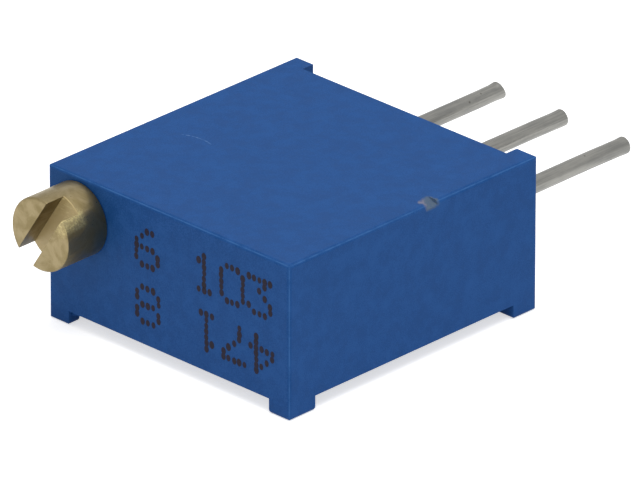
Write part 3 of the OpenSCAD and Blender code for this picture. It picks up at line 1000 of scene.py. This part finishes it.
    def build(self) -> None:
        """Builds the screw and hands it over."""
        finish = TurnedBrass().material(self)
        piece = Maker.piece("adjustment_screw_brass", self.turned())
        cutter = self.slot_cutter()
        Maker.modified(piece, "BOOLEAN", operation="DIFFERENCE", object=cutter, solver="EXACT")
        bpy.data.objects.remove(cutter)
        with Maker.edited(piece.data) as work:
            bmesh.ops.dissolve_limit(work, angle_limit=FLAT, verts=work.verts, edges=work.edges)
        Maker.ease(piece, self.slot_ease, self.corner)
        with Maker.edited(piece.data) as work:
            work.from_mesh(self.thread(finish))
            bmesh.ops.triangulate(work, faces=[f for f in work.faces if len(f.verts) > 4])
            bmesh.ops.recalc_face_normals(work, faces=work.faces)
        Maker.level(piece)
        Maker.dress(piece.data, finish)
        Maker.hand_over(piece, "screw", "brass", "adjustment_screw")


@dataclass
class Pin:
    """How one pin differs from its neighbours at its sheared tip."""

    node: str
    flare: float
    shear: float
    burr: float
    lift: float
    seed: float


@dataclass
class PinRow:
    """The three tinned pins, drawn round, coined flat inside and sheared at the tip."""

    radius: float = 0.255 * MM
    coin_end: float = -0.61 * MM
    coin_half: float = 0.3 * MM
    coin_shoulder: float = 0.6 * MM
    crease: float = 40 * DEG
    crowding: float = 1.7
    rim: float = 0.34
    tip_reach: float = 1.6
    bend_reach: float = 6.0
    steps: int = 120
    sides: int = 40
    pins: tuple[Pin, ...] = (
        Pin("pin_1", flare=0.08, shear=-0.35, burr=0.06, lift=0.01 * MM, seed=1.0),
        Pin("pin_2", flare=0.0, shear=-0.1, burr=0.08, lift=-0.02 * MM, seed=5.0),
        Pin("pin_3", flare=0.05, shear=-0.05, burr=0.02, lift=-0.02 * MM, seed=9.0))

    def recipe(self, finish: Material) -> Recipe:
        """Builds the tree that draws a wire along its path and forms both ends.

        Args:
            finish: Material of the pins.

        Returns:
            The tree.
        """
        recipe = Recipe("sheared_pin")
        centre, tail, tip, radius, coin_end, coin_half, coin_low, coin_high = recipe.sizes(
            "Centre x", "Tail y", "Tip y", "Wire radius", "Coin end y", "Coin half width", "Coin low z",
            "Coin high z")
        flare, shear, burr, lift, seed = recipe.sizes("Flare", "Shear", "Burr", "Lift", "Seed")
        steps, sides = recipe.sizes("Steps", "Sides", kind="Int")
        circle = recipe.flow("GeometryNodeCurvePrimitiveCircle", {"Resolution": sides, "Radius": 1.0})
        tube, (x, share, z) = recipe.sweep((0, 1, 0), steps, circle)
        y = tail + (tip - tail) * (1.0 - (1.0 - share) ** self.crowding)
        left = tip - y
        in_rim = 1.0 - recipe.flow("ShaderNodeClamp", {"Value": left / (radius * self.rim)})
        round_off = recipe.math("SQRT", 1.0 - (in_rim * 0.8) ** 2.0)
        near_tip = 1.0 - recipe.fade(left, 0.0, radius * self.tip_reach)
        wide = round_off * (1.0 + flare * near_tip * 0.6)
        tall = round_off * (1.0 + flare * near_tip)
        wobble = recipe.flow("ShaderNodeTexNoise", {
            "Vector": recipe.vector(seed, y * 900.0, 0.0), "Scale": 1.0, "Detail": 2.0}, output="Fac")
        drift = (wobble - 0.5) * (radius * 0.05)
        crown = recipe.fade(z, 0.55, 0.95) * (burr * near_tip)
        bend = 1.0 - recipe.fade(left, 0.0, radius * self.bend_reach)
        round_x = x * radius * wide
        round_z = z * radius * tall + drift + crown * radius + lift * bend
        slant = z * shear * radius * near_tip
        flat = 1.0 - recipe.fade(y, coin_end - radius * 0.5, coin_end)
        squared = recipe.math("SIGN", z) * abs(z) ** 0.45
        coin_z = (coin_low + coin_high) * 0.5 + squared * ((coin_high - coin_low) * 0.5)
        full_x = recipe.mix(flat, round_x, x * coin_half)
        full_z = recipe.mix(flat, round_z, coin_z)
        place = recipe.vector(centre + full_x, y + slant, full_z)
        formed = recipe.flow("GeometryNodeSetPosition", {"Geometry": tube, "Position": place})
        recipe.close(formed, finish)
        return recipe

    def build(self) -> None:
        """Builds the three pins and hands them over."""
        finish = TinnedWire().material()
        recipe = self.recipe(finish)
        for pin in self.pins:
            low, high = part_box(pin.node)
            tails = [v.co.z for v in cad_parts[pin.node].data.vertices
                     if v.co.y < self.coin_end - self.coin_shoulder]
            piece = Maker.grown(f"{pin.node}_wire", recipe, {
                "Centre x": (low.x + high.x) / 2, "Tail y": low.y, "Tip y": high.y,
                "Wire radius": self.radius, "Coin end y": self.coin_end, "Coin half width": self.coin_half,
                "Coin low z": min(tails), "Coin high z": max(tails), "Flare": pin.flare,
                "Shear": pin.shear, "Burr": pin.burr, "Lift": pin.lift, "Seed": pin.seed,
                "Steps": self.steps, "Sides": self.sides})
            Maker.smooth(piece.data, self.crease)
            Maker.hand_over(piece, "case", "tinned_copper", pin.node)


class Digit(Enum):
    """Plain dot-matrix numerals, five dots wide and seven high, from the top row down."""

    ZERO = "01110 10001 10001 10001 10001 10001 01110"
    ONE = "00100 01100 00100 00100 00100 00100 01110"
    THREE = "11111 00010 00100 00010 00001 10001 01110"
    FOUR = "00010 00110 01010 10010 11111 00010 00010"
    SIX = "00110 01000 10000 11110 10001 10001 01110"
    SEVEN = "11111 00001 00010 00100 01000 01000 01000"
    EIGHT = "01110 10001 10001 01110 10001 10001 01110"


@dataclass
class FrontPrint:
    """Two rows of plain numbers in ink dots on the screw face, the lower row upside down."""

    height: float = 1.06 * MM
    width: float = 0.84 * MM
    dot: float = 0.088 * MM
    dot_sides: int = 12
    dot_stretch: float = 1.28
    dot_least: float = 0.84
    dot_most: float = 1.1
    stray: float = 0.012 * MM
    seed: int = 7
    proud: float = 0.004 * MM
    upper_z: float = 1.06 * MM
    lower_z: float = -0.72 * MM
    upper: tuple[tuple[Digit, float], ...] = (
        (Digit.SIX, -0.82 * MM), (Digit.ONE, 1.43 * MM), (Digit.ZERO, 2.53 * MM), (Digit.THREE, 3.6 * MM))
    lower: tuple[tuple[Digit, float], ...] = (
        (Digit.EIGHT, -0.8 * MM), (Digit.ONE, 1.52 * MM), (Digit.SEVEN, 2.6 * MM), (Digit.FOUR, 3.68 * MM))

    def dots(self, face_y: float) -> list[Vector]:
        """Gives the centre of every dot on the screw face.

        Args:
            face_y: Place of the screw face.

        Returns:
            The centres.
        """
        found = []
        for row, middle_z, turned in ((self.upper, self.upper_z, 1), (self.lower, self.lower_z, -1)):
            for digit, middle_x in row:
                for line, cells in enumerate(digit.value.split()):
                    for column, cell in enumerate(cells):
                        if cell == "1":
                            x = middle_x + turned * (column / 4 - 0.5) * self.width
                            z = middle_z + turned * (0.5 - line / 6) * self.height
                            found.append(Vector((x, face_y, z)))
        return found

    def recipe(self, finish: Material) -> Recipe:
        """Builds the tree that sets a low blot of ink on every point.

        Args:
            finish: Material of the ink.

        Returns:
            The tree.
        """
        recipe = Recipe("ink_dots")
        radius, proud, stray = recipe.sizes("Dot radius", "Proud", "Stray")
        (seed,) = recipe.sizes("Seed", kind="Int")
        blot = recipe.flow("GeometryNodeMeshCylinder", {
            "Vertices": self.dot_sides, "Radius": radius, "Depth": proud * 2.0})
        laid = recipe.flow("GeometryNodeTransform", {
            "Geometry": blot, "Rotation": (90 * DEG, 0, 0), "Scale": (1.0, self.dot_stretch, 1.0)})
        shift = recipe.flow("FunctionNodeRandomValue", {
            0: recipe.vector(stray * -1.0, 0.0, stray * -1.0), 1: recipe.vector(stray, 0.0, stray),
            "Seed": seed}, data_type="FLOAT_VECTOR")
        moved = recipe.flow("GeometryNodeSetPosition", {
            "Geometry": recipe.source.outputs[0], "Offset": shift})
        size = recipe.flow("FunctionNodeRandomValue", {
            2: self.dot_least, 3: self.dot_most, "Seed": seed}, output=1, data_type="FLOAT")
        placed = recipe.flow("GeometryNodeInstanceOnPoints", {
            "Points": moved, "Instance": laid, "Scale": recipe.vector(size, size, size)})
        recipe.close(placed, finish)
        return recipe

    def build(self) -> None:
        """Builds the print and hands it over."""
        low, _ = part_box("housing")
        mesh = bpy.data.meshes.new("print_points")
        mesh.from_pydata([tuple(p) for p in self.dots(low.y)], [], [])
        piece = Maker.grown("front_print", self.recipe(PrintInk().material()), {
            "Dot radius": self.dot, "Proud": self.proud, "Stray": self.stray, "Seed": self.seed}, mesh)
        Maker.smooth(piece.data)
        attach(piece, "case")
        LOG.info("front_print: %d faces", len(piece.data.polygons))


@dataclass
class BackPotting:
    """The cast resin under the substrate, with a curved face that climbs its walls and the pins."""

    climb: float = 0.055 * MM
    climb_width: float = 0.35 * MM
    ripple: float = 0.012 * MM
    cells: int = 90
    notch_half: float = 0.36 * MM
    notch_top: float = 0.315 * MM
    pin_radius: float = 0.255 * MM
    pin_xs: tuple[float, ...] = (-2.54 * MM, 0.0, 2.54 * MM)
    wall_y: float = -0.93 * MM
    wave_size: float = 1.6 * MM
    pit: float = 0.05 * MM
    skin: float = 0.012 * MM
    dip: float = 0.03 * MM
    collar: float = 0.05 * MM
    plug_root: float = 0.02 * MM
    plug_steps: tuple[int, ...] = (12, 36, 12, 36)
    rings: int = 8
    craters: tuple[tuple[float, float, float], ...] = (
        (-2.1 * MM, -7.6 * MM, 0.16 * MM), (1.9 * MM, -4.2 * MM, 0.11 * MM), (3.3 * MM, -8.3 * MM, 0.08 * MM))

    def face_z(self, x: float, y: float, low: Vector, high: Vector) -> float:
        """Gives the height of the resin's open face at a point, which faces downwards.

        Args:
            x: Place across the housing.
            y: Place along it.
            low: Lowest corner of the resin's box.
            high: Its highest corner.

        Returns:
            The height.
        """
        to_wall = min(x - low.x, high.x - x, y - low.y, self.wall_y - y)
        rise = self.climb * exp(-max(to_wall, 0) / self.climb_width * 3)
        wave = self.ripple * noise.noise(Vector((x, y, 0)) / self.wave_size)
        pit = sum(self.pit * exp(-((x - cx) ** 2 + (y - cy) ** 2) / (r / 1.5) ** 2)
                  for cx, cy, r in self.craters)
        return low.z - rise + wave + pit

    def slab(self, low: Vector, high: Vector) -> tuple[list[Vector], Faces]:
        """Gives the points and faces of the main pour.

        Args:
            low: Lowest corner of the resin's box.
            high: Its highest corner.

        Returns:
            The points and the faces.
        """
        n = self.cells
        xs = [low.x + (high.x - low.x) * i / n for i in range(n + 1)]
        ys = [low.y + (self.wall_y - low.y) * j / n for j in range(n + 1)]
        top_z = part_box("substrate")[0].z
        points = [Vector((x, y, self.face_z(x, y, low, high))) for x in xs for y in ys]
        faces = Maker.grid(n + 1, n + 1)
        rim = ([i * (n + 1) for i in range(n)] + [n * (n + 1) + j for j in range(n)]
               + [i * (n + 1) + n for i in range(n, 0, -1)] + list(range(n, 0, -1)))
        first = len(points)
        points += [Vector((points[k].x, points[k].y, top_z)) for k in rim]
        count = len(rim)
        faces += [(rim[k], rim[(k + 1) % count], first + (k + 1) % count, first + k) for k in range(count)]
        faces.append(tuple(range(first, first + count)))
        return points, faces

    def plug(self, pin_x: float, end_y: float, low_z: float) -> tuple[list[Vector], Faces]:
        """Gives the points and faces of the resin that fills one exit notch round its pin.

        Args:
            pin_x: Place of the pin across the housing.
            end_y: Outer end of the notch.
            low_z: Underside of the resin.

        Returns:
            The points and the faces.
        """
        half, top = self.notch_half, self.notch_top
        corners = [(half, top), (-half, top), (-half, low_z), (half, low_z)]
        border = [(ax + (bx - ax) * k / count, az + (bz - az) * k / count)
                  for (ax, az), (bx, bz), count in zip(corners, corners[1:] + corners[:1], self.plug_steps)
                  for k in range(count)]
        points = []
        for bx, bz in border:
            share_of_pin = self.pin_radius / hypot(bx, bz)
            px, pz = bx * share_of_pin, bz * share_of_pin
            gap = hypot(bx - px, bz - pz)
            outer, inner = [], []
            for i in range(self.rings + 1):
                share = i / self.rings
                x, z = pin_x + px + (bx - px) * share, pz + (bz - pz) * share
                dip = self.dip * sin(pi * share) * min(1.0, gap / (0.3 * MM))
                collar = self.collar * exp(-share * gap / self.collar)
                outer.append(Vector((x, end_y - self.skin - dip + collar, z)))
                inner.append(Vector((x, self.wall_y - self.plug_root, z)))
            points += outer + inner[::-1]
        return points, Maker.grid(len(border), 2 * (self.rings + 1), ring=True, loop=True)

    def build(self) -> None:
        """Builds the resin and hands it over."""
        low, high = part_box("back_potting")
        points, faces = self.slab(low, high)
        for pin_x in self.pin_xs:
            more_points, more_faces = self.plug(pin_x, high.y, low.z)
            start = len(points)
            points += more_points
            faces += [tuple(start + k for k in face) for face in more_faces]
        piece = Maker.piece("back_potting_resin", Maker.mesh("back_potting_resin", points, faces))
        Maker.dress(piece.data, Finish("potting_cast_resin", seen(24, 52, 98), seen(29, 58, 106), Grain.CAST,
                                       roughness=0.28, specular=0.45, relief=0.006 * MM).material())
        Maker.smooth(piece.data)
        Maker.hand_over(piece, "case", "potting", "back_potting")


@dataclass(frozen=True)
class InnerPieces:
    """Finishes of the pieces inside, which keep their solids."""

    worn_by: tuple[tuple[Finish, tuple[str, ...]], ...] = (
        (Finish("seal_red_rubber", seen(150, 60, 44), seen(132, 50, 38), Grain.RUBBER, 0.7,
                specular=0.3), ("shaft_seal",)),
        (Finish("ring_spring_steel", seen(190, 192, 196), seen(160, 162, 168), Grain.STAMPED, 0.3, 1.0),
         ("snap_ring",)),
        (Finish("rotor_natural_nylon", seen(232, 228, 214), seen(220, 214, 198), Grain.MOULDED, 0.45),
         ("rotor_gear",)),
        (Finish("wiper_contact_alloy", seen(222, 196, 128), seen(198, 170, 102), Grain.STAMPED, 0.25,
                1.0), ("wiper_contact",)),
        (Finish("substrate_alumina", seen(238, 236, 228), seen(226, 223, 214), Grain.FIRED, 0.62),
         ("substrate",)),
        (Finish("track_cermet", seen(52, 48, 48), seen(36, 34, 36), Grain.FILM, 0.42),
         ("resistive_track",)),
        (Finish("film_fired_silver", seen(214, 211, 200), seen(188, 184, 170), Grain.FILM, 0.4, 1.0),
         ("collector_track", "end_pad_1", "end_pad_3")),
        (Finish("solder_tin", seen(200, 201, 202), seen(176, 177, 180), Grain.CAST, 0.22, 1.0),
         ("solder_1", "solder_2", "solder_3")))

    def build(self) -> None:
        """Dresses each node that keeps its own mesh."""
        for finish, nodes in self.worn_by:
            material = finish.material()
            for node in nodes:
                Maker.dress(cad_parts[node].data, material)
                LOG.info("%s: keeps its solid", node)


@dataclass
class Studio:
    """White floor, even white surroundings and one broad soft lamp overhead."""

    floor_size: float = 3.0
    world_level: float = 0.6
    lamp_watts: float = 1.0
    lamp_size: float = 0.35
    lamp_place: tuple[float, float, float] = (0.1, -0.05, 0.43)
    floor_white: float = 0.9
    floor_lift: float = 0.6

    def floor(self) -> None:
        """Lays the floor under the feet."""
        low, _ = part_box("housing")
        half = self.floor_size / 2
        corners = [(-half, -half, low.z), (half, -half, low.z), (half, half, low.z), (-half, half, low.z)]
        mesh = bpy.data.meshes.new("floor")
        mesh.from_pydata(corners, [], [(0, 1, 2, 3)])
        floor = Maker.piece("floor", mesh)
        graph = Graph("floor_white")
        graph.surface(Base_Color=(self.floor_white,) * 3, Roughness=0.9, Specular_IOR_Level=0.0)
        lift = graph.flow("ShaderNodeEmission", {"Strength": graph.shown() * self.floor_lift})
        both = graph.flow("ShaderNodeAddShader", {0: graph.shader.outputs[0], 1: lift})
        graph.feed(graph.output.inputs["Surface"], both)
        Maker.dress(mesh, graph.material)

    def surroundings(self) -> None:
        """Sets the world: an even level for light, and white where it is seen."""
        world = bpy.data.worlds.new("studio")
        bpy.context.scene.world = world
        world.use_nodes = True
        tree = Tree(world.node_tree)
        back = world.node_tree.nodes["Background"]
        tree.feed(back.inputs["Color"], (1.0, 1.0, 1.0))
        tree.feed(back.inputs["Strength"], tree.flow("ShaderNodeMapRange", {
            "Value": tree.shown(), "To Min": self.world_level, "To Max": 1.0}))

    def lamp(self) -> None:
        """Hangs the lamp."""
        data = bpy.data.lights.new("softbox", "AREA")
        data.shape = "DISK"
        data.size = self.lamp_size
        data.energy = self.lamp_watts
        lamp = Maker.piece("softbox", data)
        lamp.location = self.lamp_place
        lamp.rotation_euler = (-Vector(self.lamp_place)).to_track_quat("-Z", "Y").to_euler()

    def build(self) -> None:
        """Builds the whole studio."""
        self.floor()
        self.surroundings()
        self.lamp()
        bpy.context.scene.view_settings.view_transform = "Standard"


@dataclass(frozen=True)
class PhotoCamera:
    """The camera of the photograph, from a fit of its corners."""

    azimuth: float = 44.2576 * DEG
    elevation: float = 25.7763 * DEG
    roll: float = 0.0548 * DEG
    distance: float = 388.976 * MM
    focal_pixels: float = 13605.02
    image_width: int = 640
    aside: float = -2.7364 * MM
    above: float = 0.5178 * MM
    sensor: float = 36.0

    def build(self) -> None:
        """Places the camera and makes it the scene's own."""
        a, e, r = self.azimuth, self.elevation, self.roll
        back = Vector((sin(a) * cos(e), -cos(a) * cos(e), sin(e)))
        level = Vector((cos(a), sin(a), 0))
        upright = back.cross(level)
        right = level * cos(r) + upright * sin(r)
        up = upright * cos(r) - level * sin(r)
        low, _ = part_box("housing")
        spot = right * self.aside + up * self.above + back * self.distance + Vector((0, 0, low.z))
        data = bpy.data.cameras.new("photo_camera")
        data.sensor_width = self.sensor
        data.lens = self.focal_pixels / self.image_width * self.sensor
        data.clip_start = 0.01
        camera = Maker.piece("photo_camera", data)
        turn = Matrix((right, up, back)).transposed().to_4x4()
        camera.matrix_world = Matrix.Translation(spot) @ turn
        bpy.context.scene.camera = camera


def main() -> None:
    logging.basicConfig(level=logging.INFO, format="%(name)s: %(message)s")
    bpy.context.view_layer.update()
    PhotoCamera().build()
    Studio().build()
    InnerPieces().build()
    Housing().build()
    AdjustmentScrew().build()
    PinRow().build()
    BackPotting().build()
    FrontPrint().build()


if __name__ == "__main__":
    main()
